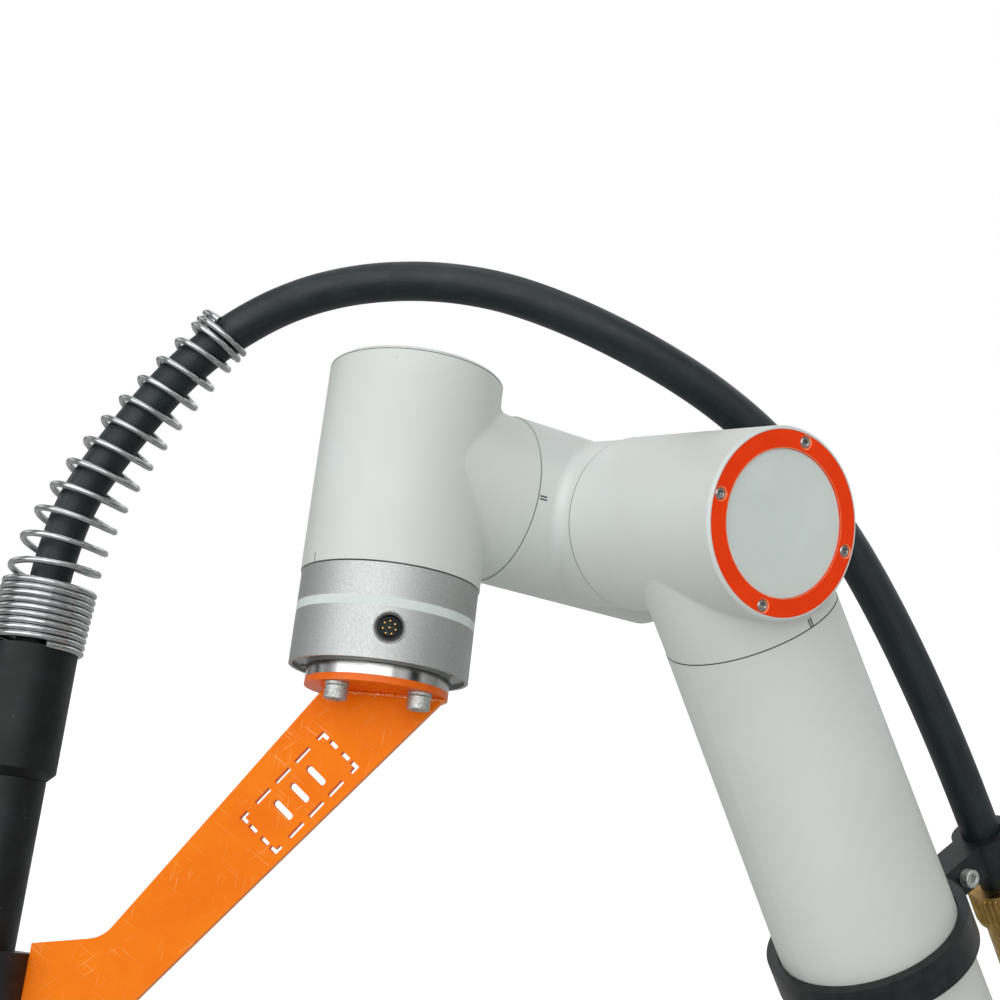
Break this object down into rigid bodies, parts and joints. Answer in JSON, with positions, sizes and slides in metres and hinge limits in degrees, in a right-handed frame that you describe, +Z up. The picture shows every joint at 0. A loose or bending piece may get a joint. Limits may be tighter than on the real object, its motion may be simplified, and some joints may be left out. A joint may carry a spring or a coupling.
{
  "type": "industrial robot arm",
  "caption": "Six-axis collaborative robot arm on a round base flange, with an orange bracket that carries a welding torch and its hose.",
  "frame": {"origin": "centre of the base flange's flat underside", "axes": "+Z up along the base axis, +X the way the wrist points, the arm's joints two to four turn about Y"},
  "size_m": [0.5377, 0.301, 0.9847],
  "materials": {
    "white_paint": "satin powder coat",
    "orange_cap": "moulded satin",
    "grey_disc": "moulded satin",
    "machined_aluminium": "fine turned",
    "light_band": "frosted translucent",
    "nickel": "nickel plated",
    "black_plastic": "moulded satin",
    "orange_paint": "worn powder coat",
    "anodised_aluminium": "black anodised",
    "brass": "satin",
    "copper": "satin",
    "zinc_spring": "zinc plated wire",
    "rubber_hose": "matt extruded"
  },
  "bodies": {
    "root": {"base_flange": "machined_aluminium", "base_housing": "white_paint", "shoulder_housing": "white_paint", "shoulder_cap_ring": "orange_cap", "shoulder_cap_disc": "grey_disc", "upper_arm_joint": "white_paint", "upper_arm_tube": "white_paint", "elbow_housing": "white_paint", "elbow_cap_ring": "orange_cap", "elbow_cap_disc": "grey_disc", "forearm_joint": "white_paint", "forearm_tube": "white_paint", "wrist_1_housing": "white_paint", "wrist_1_cap_ring": "orange_cap", "wrist_1_cap_disc": "grey_disc", "hose_clamp": "anodised_aluminium", "hose_coupling": "brass", "hose_forearm_run": "rubber_hose"},
    "wrist_2": {"wrist_2_housing": "white_paint", "wrist_2_cap_ring": "orange_cap", "wrist_2_cap_disc": "grey_disc", "hose_over_wrist": "rubber_hose"},
    "wrist_3": {"wrist_3_housing": "white_paint", "wrist_3_lid": "white_paint"},
    "tool": {"flange_ring_upper": "machined_aluminium", "light_band": "light_band", "flange_ring_lower": "machined_aluminium", "connector_shell": "nickel", "connector_insert": "black_plastic", "mounting_flange": "machined_aluminium", "bracket_disc": "orange_paint", "bracket_plate": "orange_paint", "torch_body": "black_plastic", "torch_barrel": "black_plastic", "torch_clamp": "anodised_aluminium", "torch_neck": "brass", "torch_nozzle": "copper", "contact_tip": "copper", "torch_spring": "zinc_spring", "hose_tool_run": "rubber_hose"}
  },
  "joints": [
    {"name": "wrist_1_turn", "type": "hinge", "parent": "root", "child": "wrist_2", "pos_m": [-0.07621, -0.015, 0.85784], "axis": [0, -1, 0], "range_deg": [-30, 40], "deforming": ["hose_forearm_run"]},
    {"name": "wrist_2_turn", "type": "hinge", "parent": "wrist_2", "child": "wrist_3", "pos_m": [0.02082, -0.115, 0.88203], "axis": [0.9703, 0, 0.2419], "range_deg": [-40, 40], "deforming": ["hose_over_wrist"]},
    {"name": "wrist_3_turn", "type": "hinge", "parent": "wrist_3", "child": "tool", "pos_m": [0.02082, -0.115, 0.88203], "axis": [0.2385, 0.1685, -0.9564], "range_deg": [-60, 60], "deforming": ["hose_tool_run"]}
  ]
}
